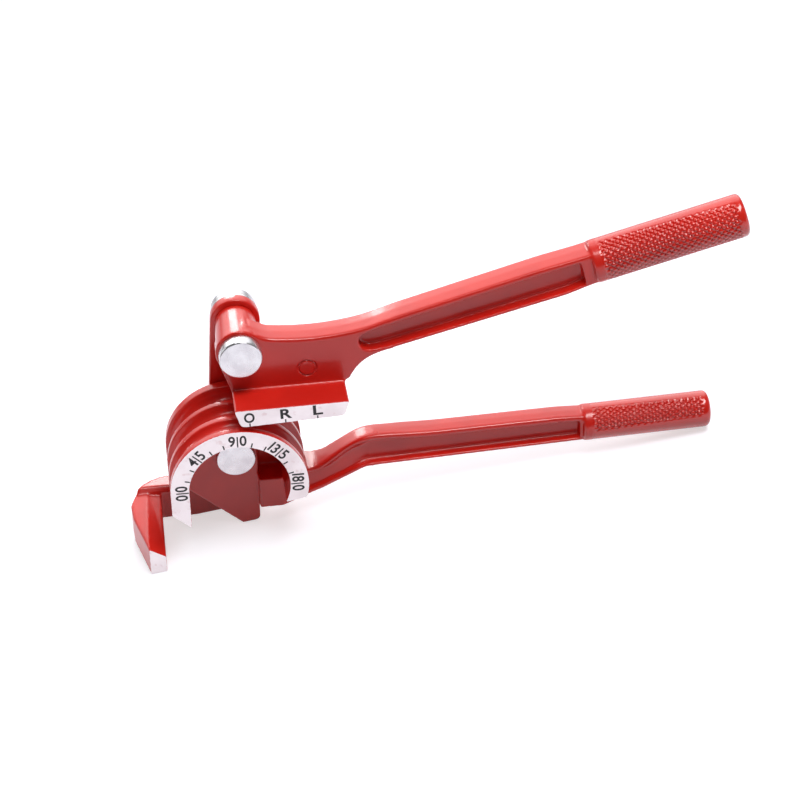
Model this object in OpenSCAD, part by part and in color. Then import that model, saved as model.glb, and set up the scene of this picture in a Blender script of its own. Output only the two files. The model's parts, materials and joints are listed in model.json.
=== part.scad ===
// Hand lever tube bender for three tube sizes: a grooved die with a 180 degree dial,
// a hook that holds the tube, and a forming shoe on a lever that swings round the die on a link.
// The bender stands on its hook, its foot and the end of its lower grip.
// Lengths are in millimetres. +X runs along the handles, +Y to the back, +Z up.
// Inside the modules the dial's own plane is used: u to the right, v up, a the depth behind the dial.

/* [Tubes] */
// Outside diameter of the tube in the front groove
tube_1 = 6.35; // [4:0.05:7]
// Outside diameter of the tube in the middle groove
tube_2 = 7.94; // [5:0.01:8.5]
// Outside diameter of the tube in the back groove
tube_3 = 9.53; // [6:0.01:10]
// Clearance round a tube in its groove
tube_clear = 0.1; // [0.05:0.05:0.2]

/* [Die] */
// Radius of the die over its flanges
die_r = 29.6; // [27:0.1:34]
// Width of the die, front to back
die_w = 39; // [37:0.5:46]
// Radial width of the dial ring
rim_w = 8.1; // [7.2:0.1:9]
// Width of the flanges beside the grooves
flange_t = 3.25; // [2.6:0.05:3.6]
// Thickness of the machined skin on dial, shoe and hook
face_t = 1; // [0.6:0.1:1.5]
// Length of the straight leg below the 0 mark, at its outer edge
leg_out = 11.6; // [8:0.1:15]
// Length of the straight leg below the 0 mark, at its tip
leg_in = 19.1; // [16:0.1:21]
// How far the ring runs on below the 180 mark
ring_end = 7.8; // [5:0.1:9]

/* [Hub] */
// Depth of the pocket floor inside the dial ring
pocket_d = 30; // [27:0.1:32]
// Depth of the lug's front face
lug_d = 22.2; // [21.5:0.1:25]
// Distance of the lug's right edge from the die axis
lug_u = 9.4; // [7.5:0.1:11]
// Rounded lower corner of the lug
lug_r = 2.2; // [2:0.1:5]
// Start of the lug's slanted edge over the leg's inner end
lug_rise = 3.9; // [2:0.1:6]
// Width of the foot under the lug
foot_w = 6; // [4:0.5:9]
// Height of the die axis over the bench
axis_h = 36.1; // [34:0.1:40]
// Angle between the dial's base line and the bench
stand = 8.4; // [6:0.1:10]

/* [Hook] */
// Depth of the hook bar's front face
bar_d = 34.6; // [34.4:0.1:38]
// Thickness of the hook bar, front to back
bar_t = 9.8; // [8:0.1:13]
// Top of the hook bar below the die axis
bar_top = 22.7; // [21.5:0.1:25]
// Height of the hook bar
bar_h = 16.6; // [14:0.1:17.5]
// Bevel along the hook bar's upper front edge
bar_edge = 2.1; // [1:0.1:3]
// Outer end of the hook from the die axis
hook_u = 47.4; // [45:0.1:54]
// Radius of the bend from the bar to the finger, seen from above
hook_r = 20; // [12:0.5:20]
// Width of the hook finger at its end
finger_w = 7.1; // [5:0.1:9]
// Height of the hook finger's end at its outer edge
finger_h = 13.6; // [10:0.1:15]
// How far the finger's end slopes down to its inner edge
finger_slope = 4.5; // [2:0.1:6]

/* [Lower handle] */
// Depth of the lower handle's front face
low_d = 19; // [17:0.5:21]
// Thickness of the lower handle
low_t = 10.5; // [9:0.1:11]
// Depth of the neck's back face at its root
neck_d = 34; // [31:0.5:36]
// Distance of the bend from the die axis
bend_u = 60; // [55:0.5:70]
// Height of the handle at the bend
low_h0 = 14.1; // [12:0.1:16]
// Height of the handle at the grip
low_h1 = 12.5; // [11:0.1:14]
// Distance of the grip's start from the die axis
low_grip_u = 153; // [135:1:170]
// Distance of the grip's end from the die axis
low_end_u = 210.3; // [195:0.1:235]
// Angle of the handle to the dial's base line
low_angle = 1.8; // [0:0.1:4]
// Radius of the lower grip
low_r = 8.15; // [7.4:0.05:9]
// Top of the neck's root below the die axis
root_top = 10.8; // [10.4:0.1:13]
// Height of the neck's root
root_h = 15.6; // [12:0.1:17]
// Height of the neck where it leaves the ring
neck_h = 13.6; // [11:0.1:15]

/* [Handle channels] */
// Wall left between the front and back channel of a handle
chan_web = 2.6; // [2:0.1:6]
// Flange above a channel
chan_top = 2.2; // [1.6:0.1:3]
// Flange below a channel
chan_low = 1.5; // [1.2:0.1:3]
// Solid length between the lower channel and its grip
low_chan_end = 1.4; // [1:0.1:8]
// Solid length between the lever's channel and its grip
lever_chan_end = 4.6; // [2:0.1:8]
// How far the lever's channel runs into the web
chan_in = 11.3; // [6:0.1:13]

/* [Link and pins] */
// Distance between the two pins
link_len = 59.1; // [56:0.1:64]
// Angle of the link on the dial as it stands
link_angle = 86.2; // [84:0.1:92]
// Half width of the link
link_r = 10.65; // [9.5:0.05:12]
// Thickness of the link
link_t = 5; // [4:0.1:6.5]
// Radius of the pins
pin_r = 5; // [4:0.1:6]
// Running clearance of the pins
pin_clear = 0.05; // [0.02:0.01:0.1]
// Gap between the faces of turning pieces
side_gap = 0.3; // [0.2:0.05:0.5]
// Radius of the lever pin's front head
head_r = 9; // [7.5:0.1:10]
// Thickness of the lever pin's front head
head_t = 5.6; // [3:0.1:6]
// Chamfer round the lever pin's front head
head_edge = 0.5; // [0.2:0.1:1]
// Radius of the die pin's front head
die_head_r = 8.5; // [7:0.1:9]
// Thickness of the die pin's front head
die_head_t = 1.6; // [1:0.1:2.5]
// Radius of the washers
washer_r = 10.3; // [8.5:0.1:11]
// Thickness of the washers
washer_t = 1.8; // [1:0.1:2.5]
// Radius of the back heads
cap_r = 9.9; // [8:0.1:10.5]
// Thickness of the back heads
cap_t = 5; // [3:0.1:6]

/* [Lever] */
// Gap between shoe and die flanges
shoe_gap = 2; // [1.2:0.1:3]
// Angle of the shoe to the dial's base line as it stands
shoe_tilt = 2.3; // [1:0.1:4]
// Start of the shoe from the lever pin
shoe_x0 = -5.3; // [-8:0.1:-4]
// Length of the shoe
shoe_l = 48.4; // [42:0.1:52]
// Height of the shoe at its start
shoe_h0 = 8.5; // [7:0.1:10]
// Height of the shoe at its end
shoe_h1 = 7; // [6:0.1:8]
// Rounded lower corners of the shoe
shoe_r = 2.6; // [1:0.1:3]
// Slant of the shoe's ends
shoe_slant = 1.6; // [0.5:0.1:3]
// Depth of the lever's front face
lever_d = 15.5; // [14:0.1:18]
// Thickness of the lever's web and handle
lever_t = 12.5; // [10:0.1:14]
// Radius of the boss round the lever pin
boss_r = 10.2; // [8:0.1:11]
// Radius of the boss at its back, drawn in by the mould's draft
boss_back_r = 8.6; // [7:0.1:10]
// Distance from the lever pin to where the handle's centre line starts
lever_x = 61; // [56:0.5:68]
// Angle of the handle to the shoe
lever_angle = 13; // [10:0.1:18]
// Height of the handle at its start
lever_h0 = 12.4; // [11:0.1:14]
// Height of the handle at the grip
lever_h1 = 14.5; // [12:0.1:16]
// Length of the handle from its start to the grip
lever_l = 91.5; // [75:0.5:110]
// Length of the upper grip
grip_l = 67; // [55:0.5:85]
// Radius of the upper grip
grip_r = 9.35; // [8.6:0.05:10.5]
// Hollow along the top of the web
web_top_r = 112; // [90:1:130]
// Hollow between shoe and handle
web_low_r = 25.5; // [20:0.5:30]
// Fillet between the boss and the top of the web
web_fillet_r = 30; // [15:1:40]
// Length of the web's step behind the shoe
web_step_l = 7; // [4:0.5:10]
// Height of the web's step behind the shoe
web_step_h = 2; // [1:0.1:4]
// Radius of the round mark on the web
mark_r = 4; // [2.5:0.1:5]

/* [Hidden] */
$fn = 96;
red = [0.70, 0.14, 0.15];
bare = [0.87, 0.86, 0.88];
steel = [0.80, 0.80, 0.83];
// Reach of the cutters past the die
over = 2 * die_r;
// Seam between the round parts of one casting
seam = 0.03;

// Ring and groove places, front to back
ring_r = die_r - rim_w;
tubes = [tube_1, tube_2, tube_3];
groove_r = [for (d = tubes) d / 2 + tube_clear];
groove_a = [flange_t + groove_r[0],
    2 * flange_t + 2 * groove_r[0] + groove_r[1],
    3 * flange_t + 2 * groove_r[0] + 2 * groove_r[1] + groove_r[2]];
// The outer side of every tube lies on one line, which the hook's inner face touches
shoe_line = die_r + shoe_gap;
shoe_bite = 1.9;
tube_line = shoe_line + shoe_bite;
groove_c = [for (r = groove_r) tube_line - r];
hook_face = tube_line;

// Bench line under the standing bender, as a height at u
function bench(u) = (u * sin(stand) - axis_h) / cos(stand);
foot_u = lug_u - lug_r + lug_r * sin(stand);
foot_x = (foot_u - foot_w / 2) / cos(stand) - axis_h * tan(stand);
foot_mid_d = (lug_d + bar_d) / 2;

// Lower handle: the end rim of the grip rests on the bench
low_end_v = (low_r * cos(stand - low_angle) - axis_h + low_end_u * sin(stand)) / cos(stand);
function low_v(u) = low_end_v - (low_end_u - u) * tan(low_angle);
low_mid = low_d + low_t / 2;

// Lever: a frame at the lever pin with x along the shoe
pin_u = link_len * cos(link_angle);
pin_v = link_len * sin(link_angle);
shoe_drop = link_len * cos(90 + shoe_tilt - link_angle) - shoe_line;
lever_mid = lever_d + lever_t / 2;
link_d = die_w + side_gap;
function on_axis(s, n) = [lever_x + s * cos(lever_angle) - n * sin(lever_angle),
    s * sin(lever_angle) + n * cos(lever_angle)];
taper = atan((lever_h1 - lever_h0) / 2 / lever_l);
lever_split = 2;

module place() {
    translate([-foot_x, -foot_mid_d, axis_h]) rotate([0, stand, 0]) children();
}

module slab(a0, a1) {
    translate([0, a1, 0]) rotate([90, 0, 0]) linear_extrude(a1 - a0) children();
}

module rod(r, a0, a1) {
    translate([0, a1, 0]) rotate([90, 0, 0]) cylinder(r = r, h = a1 - a0);
}

module at_lever_pin() {
    translate([pin_u, 0, pin_v]) children();
}

module lever_frame() {
    at_lever_pin() rotate([0, -shoe_tilt, 0]) children();
}

// Die: ring over the top, straight leg on the left, short end on the right
function ring_foot(u) = -ring_end + (u - die_r) / 6;

module die_outline() {
    difference() {
        union() {
            intersection() {
                circle(r = die_r);
                polygon([[-over, 0], [0, 0], [0, ring_foot(0)], [over, ring_foot(over)],
                    [over, over], [-over, over]]);
            }
            polygon([[-die_r, 0], [-die_r, -leg_out], [-ring_r, -leg_in], [-ring_r, 0]]);
        }
        circle(r = ring_r);
    }
}

module groove(k) {
    r = groove_r[k];
    c = groove_c[k];
    translate([0, groove_a[k], 0]) {
        rotate([-90, 180, 0]) rotate_extrude(angle = 215) {
            translate([c, 0]) circle(r = r);
            translate([c, -r]) square([r, 2 * r]);
        }
        translate([-c, 0, 0]) rotate([180, 0, 0]) cylinder(r = r, h = over);
        translate([-c - r, -r, -over]) cube([r, 2 * r, over]);
    }
}

module dial_face() {
    color(bare) place() slab(0, face_t) die_outline();
}

module die_rim() {
    color(red) place() difference() {
        slab(face_t, die_w) die_outline();
        for (k = [0 : 2]) groove(k);
    }
}

// Lug outline below the hub, with its flat foot on the bench line
module lug_outline() {
    cu = lug_u - lug_r;
    cv = bench(cu) + lug_r / cos(stand);
    fu = foot_u;
    intersection() {
        circle(r = ring_r - seam);
        translate([-over, -over / 8]) square([over + lug_u, over]);
    }
    polygon([[lug_u, 0], [lug_u, cv], [cu, cv], [fu, bench(fu)], [fu - foot_w, bench(fu - foot_w)],
        [-ring_r, -leg_in + lug_rise], [-ring_r, 0]]);
    translate([cu, cv]) circle(r = lug_r);
}

module die_hub() {
    color(red) place() difference() {
        union() {
            slab(pocket_d, die_w) {
                circle(r = ring_r - seam);
                polygon([[-ring_r, 0], [-ring_r, -leg_in + 2], [-lug_u, -bar_top], [lug_u, -bar_top],
                    [ring_r, -root_top - root_h], [ring_r, -root_top], [0, 0]]);
            }
            slab(lug_d, bar_d) lug_outline();
        }
        rod(pin_r, lug_d - 1, die_w + 1);
    }
}

// Bar behind the die that carries the hook finger, cut level where it meets the bench
module bar_outline() {
    low = -bar_top - bar_h;
    cut = (low * cos(stand) + axis_h) / sin(stand);
    difference() {
        translate([-hook_u, low]) square([hook_u + lug_u, bar_h]);
        polygon([[cut, low], [cut + over * 2, bench(cut + over * 2)], [cut + over * 2, low - over],
            [cut, low - over]]);
    }
}

// Plan of the hook: the bar turns into the finger in one round bend
module hook_plan() {
    translate([0, 0, -2 * over]) linear_extrude(4 * over) {
        translate([-hook_u + hook_r, bar_d + bar_t - hook_r]) circle(r = hook_r);
        translate([-hook_u + hook_r, -over]) square([3 * over, 3 * over]);
        translate([-hook_u, -over]) square([3 * over, over + bar_d + bar_t - hook_r]);
    }
}

module hook_bar() {
    color(red) place() intersection() {
        difference() {
            slab(bar_d, bar_d + bar_t) bar_outline();
            translate([-ring_r - 2 * over, bar_d, finger_v]) rotate([45, 0, 0]) translate([0, -over, 0])
                cube([2 * over, 2 * over, over]);
        }
        hook_plan();
    }
}

// Finger across the three tubes, from the bar to the dial's plane, with a slope along its inner side
finger_v = -bar_top - bar_edge;
finger_u = hook_face + finger_w;
finger_low = bench(-finger_u) + finger_h - finger_slope;
finger_mid = 0.6 * bar_d;
ridge_u = hook_face + 0.84 * finger_w;
slope_end = finger_v - 0.2 - 0.84 * finger_slope;
function slope_v(a) = finger_low + (slope_end - finger_low) * a / bar_d;

module finger_solid() {
    low = -bar_top - bar_h;
    top = finger_low + finger_slope;
    u = mix(finger_u, hook_u, 0.86);
    hull() {
        slab(0, 0.02) polygon([[-hook_face, bench(-hook_face)], [-finger_u, bench(-finger_u)],
            [-finger_u, top], [-hook_face, finger_low]]);
        slab(finger_mid, finger_mid + 0.02) polygon([[-u, mix(bench(-finger_u), low, 0.6)], [-u + 3, low],
            [-u, mix(top, finger_v - 0.6, 0.56)]]);
        slab(bar_d - 0.02, bar_d) polygon([[-hook_face, low], [-hook_u, low], [-hook_u, finger_v - 0.6],
            [-ridge_u, finger_v - 0.2], [-hook_face, slope_end]]);
    }
}

// The slope flattens towards the bar
module finger_wedge() {
    a0 = 3;
    hull() {
        slab(a0, a0 + 0.02) polygon([[-hook_face, slope_v(a0) + 0.05], [-hook_face, slope_v(a0) - 2],
            [-hook_face - 1.5, slope_v(a0) - 2]]);
        slab(bar_d - 0.02, bar_d) polygon([[-hook_face, finger_v - 1.2], [-hook_face, slope_end - 2],
            [-ridge_u + 0.4, slope_end - 2], [-ridge_u + 0.4, finger_v - 0.6]]);
    }
}

module hook_finger() {
    color(red) place() {
        intersection() {
            finger_solid();
            slab(face_t, bar_d) square(4 * over, center = true);
            hook_plan();
        }
        finger_wedge();
    }
}

module hook_tip() {
    color(bare) place() intersection() {
        finger_solid();
        slab(0, face_t) square(4 * over, center = true);
    }
}

// Neck from the hub to the bend, a double curve that is thicker at its root
function swing(f) = (1 - cos(180 * f)) / 2;
function mix(a, b, f) = a + (b - a) * f;
neck_steps = 12;

module neck_outline() {
    u0 = die_r + 1.4;
    t0 = ring_foot(u0);
    b0 = t0 - neck_h;
    t1 = low_v(bend_u) + low_h0 / 2;
    b1 = low_v(bend_u) - low_h0 / 2;
    root = [lug_u, ring_r - 1];
    low0 = -root_top - root_h;
    top = [for (i = [0 : neck_steps]) let (f = i / neck_steps)
        [mix(u0, bend_u, f), mix(t0, t1, swing(f))]];
    low = [[bend_u, b1], [mix(u0, bend_u, 0.9), b1 - 0.1], [mix(u0, bend_u, 0.83), mix(b0, b1, 0.94)],
        [mix(u0, bend_u, 0.22), mix(b0, b1, 0.21)], [u0, b0]];
    polygon(concat([[root[0], -root_top], [root[1], -root_top], [root[1], ring_foot(root[1])]], top, low,
        [[ring_r + 1.5, low0 + 1.5], [ring_r - 2, low0], [root[0], low0]]));
}

// The handle's channel runs out on the front of the neck
module neck_channel() {
    v = low_v(bend_u);
    h = low_h0 / 2;
    u0 = mix(die_r, bend_u, 0.32);
    v0 = -root_top + 1;
    d = (low_t - chan_web) / 2;
    intersection() {
        slab(low_d - 1, low_d + low_t / 2) polygon([[u0, v0],
            [mix(u0, bend_u, 0.4), mix(v0, v + h - chan_top, 0.44)],
            [mix(u0, bend_u, 0.82), mix(v0, v + h - chan_top, 0.94)], [bend_u + 1, v + h - chan_top],
            [bend_u + 1, v - h + chan_low], [bend_u - 3, v - h + chan_low],
            [mix(u0, bend_u, 0.45), mix(v0, v - h + chan_low, 0.3)]]);
        translate([0, 0, -over]) linear_extrude(2 * over) polygon([[u0, low_d - 1], [bend_u + 1, low_d - 1],
            [bend_u + 1, low_d + d], [bend_u - 2, low_d + d], [u0, low_d]]);
    }
}

module lower_neck() {
    color(red) place() difference() {
        intersection() {
            slab(low_d, neck_d) neck_outline();
            translate([0, 0, -over]) linear_extrude(2 * over) polygon([[lug_u, low_d], [bend_u, low_d],
                [bend_u, low_d + low_t], [mix(die_r, bend_u, 0.55), low_d + low_t],
                [die_r + 0.5, neck_d - 0.8], [ring_r, neck_d], [ring_r, pocket_d], [lug_u, pocket_d]]);
        }
        neck_channel();
    }
}

// Channels on both sides of a straight handle, from s0 to s1 along it, with a square or rounded start
module handle_channels(s0, s1, h0, h1, l, a0, t, rounded) {
    d = (t - chan_web) / 2;
    k = (h1 - h0) / 2 / l;
    r = (h0 + 2 * k * s0 - chan_top - chan_low) / 2;
    c = (chan_low - chan_top) / 2;
    sc = rounded ? s0 + r : s0;
    for (f = [[a0 - 1, a0 + d], [a0 + t - d, a0 + t + 1]]) slab(f[0], f[1]) {
        if (rounded) translate([sc, c]) circle(r = r);
        polygon([[sc, c - r], [s1, chan_low - h0 / 2 - k * s1], [s1, h0 / 2 + k * s1 - chan_top],
            [sc, c + r]]);
    }
}

// Straight handle
module handle_beam(l, h0, h1, a0, t) {
    slab(a0, a0 + t) polygon([[0, -h0 / 2], [l, -h1 / 2], [l, h1 / 2], [0, h0 / 2]]);
}

// Round grip with a bevelled end and a short shoulder
module handle_grip(l, r) {
    bevel = 0.9;
    rotate([0, 90, 0]) {
        cylinder(r1 = r - bevel, r2 = r, h = bevel);
        translate([0, 0, bevel]) cylinder(r = r, h = l - 2 * bevel);
        translate([0, 0, l - bevel]) cylinder(r1 = r, r2 = r - bevel, h = bevel);
    }
}

module low_frame(u) {
    translate([u, 0, low_v(u)]) rotate([0, -low_angle, 0]) children();
}

low_beam_l = (low_grip_u - bend_u) / cos(low_angle);

module lower_beam() {
    color(red) place() difference() {
        low_frame(bend_u) difference() {
            translate([-2, 0, 0]) handle_beam(low_beam_l + 2, low_h0, low_h1, low_d, low_t);
            handle_channels(-4, low_beam_l - low_chan_end, low_h0, low_h1, low_beam_l, low_d, low_t, false);
        }
        translate([bend_u - over, -over, -over]) cube([over, 3 * over, 2 * over]);
    }
}

module lower_grip() {
    color(red) place() low_frame(low_grip_u) translate([0, low_mid, 0])
        handle_grip((low_end_u - low_grip_u) / cos(low_angle), low_r);
}

module die_pin() {
    color(steel) place() {
        rod(die_head_r, lug_d - die_head_t, lug_d);
        rod(pin_r, lug_d, link_d + link_t + side_gap + washer_t);
    }
}

module die_pin_washer() {
    a0 = link_d + link_t + side_gap;
    color(steel) place() difference() {
        rod(washer_r, a0, a0 + washer_t);
        rod(pin_r, a0 - 1, a0 + washer_t + 1);
    }
}

module die_pin_cap() {
    a0 = link_d + link_t + side_gap + washer_t;
    color(steel) place() back_head(a0);
}

// Back head with a bevelled rim
module back_head(a0) {
    bevel = 0.8;
    rod(cap_r, a0, a0 + cap_t - bevel);
    translate([0, a0 + cap_t - bevel, 0]) rotate([-90, 0, 0]) cylinder(r1 = cap_r, r2 = cap_r - bevel,
        h = bevel);
}

// Flat link with round ends and a bore for each pin
module link_bar() {
    color(red) place() slab(link_d, link_d + link_t) rotate(link_angle) difference() {
        union() {
            translate([0, -link_r]) square([link_len, 2 * link_r]);
            circle(r = link_r);
            translate([link_len, 0]) circle(r = link_r);
        }
        circle(r = pin_r + pin_clear);
        translate([link_len, 0]) circle(r = pin_r);
    }
}

module lever_pin() {
    a0 = lever_d - side_gap - head_t;
    color(steel) place() at_lever_pin() {
        translate([0, a0, 0]) rotate([-90, 0, 0])
            cylinder(r1 = head_r - head_edge, r2 = head_r, h = head_edge);
        rod(head_r, a0 + head_edge, a0 + head_t);
        rod(pin_r, a0 + head_t, link_d + link_t + washer_t);
    }
}

module lever_pin_washer() {
    a0 = link_d + link_t;
    color(steel) place() at_lever_pin() difference() {
        rod(washer_r, a0, a0 + washer_t);
        rod(pin_r, a0 - 1, a0 + washer_t + 1);
    }
}

module lever_pin_cap() {
    color(steel) place() at_lever_pin() back_head(link_d + link_t + washer_t);
}

// Shoe seen from the front: level underside, rounded lower corners
module shoe_outline() {
    x1 = shoe_x0 + shoe_l;
    y0 = -shoe_drop;
    r = shoe_r;
    s = shoe_slant;
    polygon([[shoe_x0, y0 + shoe_h0], [shoe_x0 + s, y0 + r], [shoe_x0 + s + r, y0],
        [x1 - s - r, y0], [x1 - s, y0 + r], [x1, y0 + shoe_h1]]);
    translate([shoe_x0 + s + r, y0 + r]) circle(r = r);
    translate([x1 - s - r, y0 + r]) circle(r = r);
}

module index_strip() {
    color(bare) place() lever_frame() slab(0, face_t) shoe_outline();
}

module forming_shoe() {
    color(red) place() lever_frame() difference() {
        slab(face_t, die_w) shoe_outline();
        for (k = [0 : 2]) {
            z = -shoe_drop + shoe_bite - groove_r[k];
            translate([-over, groove_a[k], z]) rotate([0, 90, 0]) cylinder(r = groove_r[k], h = 3 * over);
            translate([-over, groove_a[k] - groove_r[k], z - groove_r[k]])
                cube([3 * over, 2 * groove_r[k], groove_r[k]]);
        }
    }
}

// Web between boss, shoe and handle, hollowed above and below
module web_outline() {
    s0 = lever_split;
    h = lever_h0 / 2;
    t0 = on_axis(0, h);
    b0 = on_axis(0, -h);
    x1 = shoe_x0 + shoe_l;
    top_c = t0 + web_top_r * [-sin(lever_angle + taper), cos(lever_angle + taper)];
    low_c = b0 + web_low_r * [sin(lever_angle - taper), -cos(lever_angle - taper)];
    difference() {
        polygon([[-boss_r * cos(8), -boss_r * sin(8)], [shoe_x0, -shoe_drop + shoe_h0],
            [x1, -shoe_drop + shoe_h1], [x1 + web_step_l, -shoe_drop + shoe_h1 + web_step_h], b0,
            on_axis(s0, -h - s0 * tan(taper)), on_axis(s0, h + s0 * tan(taper)), t0, [t0[0] - 2, boss_r],
            [0, boss_r], [0, 0]]);
        translate(top_c) circle(r = web_top_r, $fn = 180);
        translate(low_c) circle(r = web_low_r);
    }
}

// Fillet between boss and web top: its circle runs a little into both of them
module web_fillet() {
    top_c = on_axis(0, lever_h0 / 2) + web_top_r * [-sin(lever_angle + taper), cos(lever_angle + taper)];
    into = boss_r / 30;
    far = norm(top_c);
    reach = boss_r + web_fillet_r - into;
    inner = web_top_r - web_fillet_r + into;
    along = (pow(reach, 2) - pow(inner, 2) + pow(far, 2)) / (2 * far);
    side = sqrt(pow(reach, 2) - pow(along, 2));
    way = top_c / far;
    fillet_c = along * way + side * [way[1], -way[0]];
    in_boss = fillet_c * (boss_r - 3 * into) / reach;
    in_web = top_c + (fillet_c - top_c) * (web_top_r + 3 * into) / inner;
    difference() {
        polygon([[0, 0], in_boss, fillet_c, in_web]);
        translate(fillet_c) circle(r = web_fillet_r, $fn = 180);
    }
}

module lever_channels() {
    translate([lever_x, 0, 0]) rotate([0, -lever_angle, 0])
        handle_channels(-chan_in, lever_l - lever_chan_end, lever_h0, lever_h1, lever_l, lever_d, lever_t,
            true);
}

module lever_web() {
    color(red) place() lever_frame() difference() {
        union() {
            slab(lever_d, lever_d + lever_t) web_outline();
            slab(lever_d, lever_d + lever_t) web_fillet();
            translate([0, lever_d, 0]) rotate([-90, 0, 0])
                cylinder(r1 = boss_r, r2 = boss_back_r, h = die_w - lever_d);
        }
        rod(pin_r + pin_clear, lever_d - 1, die_w + 1);
        lever_channels();
        translate([lever_x / 2 - 3, 0, -shoe_drop / 2 + 2]) difference() {
            rod(mark_r, lever_d - 1, lever_d + 0.3);
            rod(mark_r - 0.6, lever_d - 1, lever_d + 0.3);
        }
    }
}

module lever_beam() {
    p = on_axis(lever_split, 0);
    h = lever_h0 + 2 * lever_split * tan(taper);
    color(red) place() lever_frame() difference() {
        translate([p[0], 0, p[1]]) rotate([0, -lever_angle, 0])
            handle_beam(lever_l - lever_split, h, lever_h1, lever_d, lever_t);
        lever_channels();
    }
}

module lever_grip() {
    p = on_axis(lever_l, 0);
    color(red) place() lever_frame() translate([p[0], lever_mid, p[1]]) rotate([0, -lever_angle, 0])
        handle_grip(grip_l, grip_r);
}

dial_face();
die_rim();
die_hub();
hook_bar();
hook_finger();
hook_tip();
lower_neck();
lower_beam();
lower_grip();
die_pin();
die_pin_washer();
die_pin_cap();
link_bar();
lever_pin();
lever_pin_washer();
lever_pin_cap();
index_strip();
forming_shoe();
lever_web();
lever_beam();
lever_grip();
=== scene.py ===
# %% [markdown]
# # A cast tube bender, dressed for its portrait
# The object is a hand tool that bends brake pipe: a red cast die with a dial, a hook, two handles
# and a link. The CAD model gives every solid its place. This lesson gives the solids the look of
# the real thing: soft cast edges under glossy enamel, ground bare faces, knurled grips and turned
# pins.

# %% Load the frame
import json
import math

import bpy
from mathutils import Matrix, Vector

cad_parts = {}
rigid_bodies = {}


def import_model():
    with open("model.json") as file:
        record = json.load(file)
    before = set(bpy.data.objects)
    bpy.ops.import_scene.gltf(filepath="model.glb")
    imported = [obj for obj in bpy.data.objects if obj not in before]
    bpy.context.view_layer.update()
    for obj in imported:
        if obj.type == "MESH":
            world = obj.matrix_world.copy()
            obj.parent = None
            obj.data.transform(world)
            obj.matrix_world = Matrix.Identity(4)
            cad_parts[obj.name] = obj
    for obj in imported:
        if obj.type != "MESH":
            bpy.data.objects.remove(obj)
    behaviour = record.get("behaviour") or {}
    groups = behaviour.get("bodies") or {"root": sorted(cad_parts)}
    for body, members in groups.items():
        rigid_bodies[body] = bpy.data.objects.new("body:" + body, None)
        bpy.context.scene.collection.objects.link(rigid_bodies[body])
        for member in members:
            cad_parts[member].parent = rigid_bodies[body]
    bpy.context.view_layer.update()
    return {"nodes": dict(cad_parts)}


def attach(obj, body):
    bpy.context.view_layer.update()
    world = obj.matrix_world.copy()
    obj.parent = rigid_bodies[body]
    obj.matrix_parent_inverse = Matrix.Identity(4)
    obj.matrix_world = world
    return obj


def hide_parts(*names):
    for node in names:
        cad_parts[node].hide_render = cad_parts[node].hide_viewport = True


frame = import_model()

# %% [markdown]
# The tool leans on the bench: its dial is turned by 8.4 degrees. Numbers and marks are easier to
# place in the dial's own directions, u to the right, v up and a for the depth behind the dial. One
# small function turns such a place, in millimetres, into metres on the bench.

# %% Dial places on the bench
MM = 0.001
LEAN = math.radians(8.4)
RIGHT = Vector((math.cos(LEAN), 0, -math.sin(LEAN)))
UP = Vector((math.sin(LEAN), 0, math.cos(LEAN)))
BEHIND = Vector((0, 1, 0))
DIAL_CENTRE = Vector((0.7604, -28.4, 36.1)) * MM


def on_dial(u, v, a=0.0):
    return DIAL_CENTRE + (RIGHT * u + UP * v + BEHIND * a) * MM


LINK_ANGLE = math.radians(86.2)
LINK_LENGTH = 59.1
LEVER_PIN = on_dial(LINK_LENGTH * math.cos(LINK_ANGLE), LINK_LENGTH * math.sin(LINK_ANGLE))
print("lever pin's centre in mm:", [round(c / MM, 2) for c in LEVER_PIN])

# %% [markdown]
# The camera stands where the photograph was taken. A line of sight, an up direction and a place
# were worked out from edges of known length, for a lens of 99 mm on a frame of 36 mm. The camera is
# a little rolled, so it gets a whole turning matrix rather than a target to look at.

# %% Camera


def dial_way(u, v, front):
    return RIGHT * u + UP * v - BEHIND * front


sight = dial_way(0.11374107, -0.57898618, -0.80736483)
camera_up = -dial_way(-0.08626978, -0.81532477, 0.57254087)
camera_right = dial_way(0.9897578, -0.00452978, 0.14268493)
camera_place = on_dial(-35.9143, 572.5563, -744.1584)
turn = Matrix((camera_right, camera_up, -sight)).transposed().to_4x4()
bpy.ops.object.select_all(action="DESELECT")
bpy.ops.object.camera_add()
camera = bpy.context.object
camera.name = "portrait_camera"
camera.matrix_world = Matrix.Translation(camera_place) @ turn
camera.data.lens = 99
camera.data.sensor_width = 36
camera.data.clip_start = 0.05
bpy.context.scene.camera = camera
print("camera stands", round((camera.location - DIAL_CENTRE).length, 3), "m from the dial")

# %% [markdown]
# Most pieces start as a copy of CAD solids, because their places and sizes are right already.
# Operators act on everything that is selected, so one helper selects exactly what is meant. Others
# open a piece for editing, copy some solids into one mesh, add a modifier and apply it at once, and
# pick the faces or edges that pass a test.

# %% Helpers for copies and modifiers
TOUCH = 1e-6
FLAT_ANGLE = math.radians(0.5)


def select_only(*objects):
    if bpy.context.object and bpy.context.object.mode != "OBJECT":
        bpy.ops.object.mode_set(mode="OBJECT")
    bpy.ops.object.select_all(action="DESELECT")
    for thing in objects:
        thing.select_set(True)
    bpy.context.view_layer.objects.active = objects[0]


def edit_all(piece):
    """Opens a piece in edit mode, with everything in it selected."""
    select_only(piece)
    bpy.ops.object.mode_set(mode="EDIT")
    bpy.ops.mesh.select_all(action="SELECT")


def leave_edit():
    bpy.ops.object.mode_set(mode="OBJECT")


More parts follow.
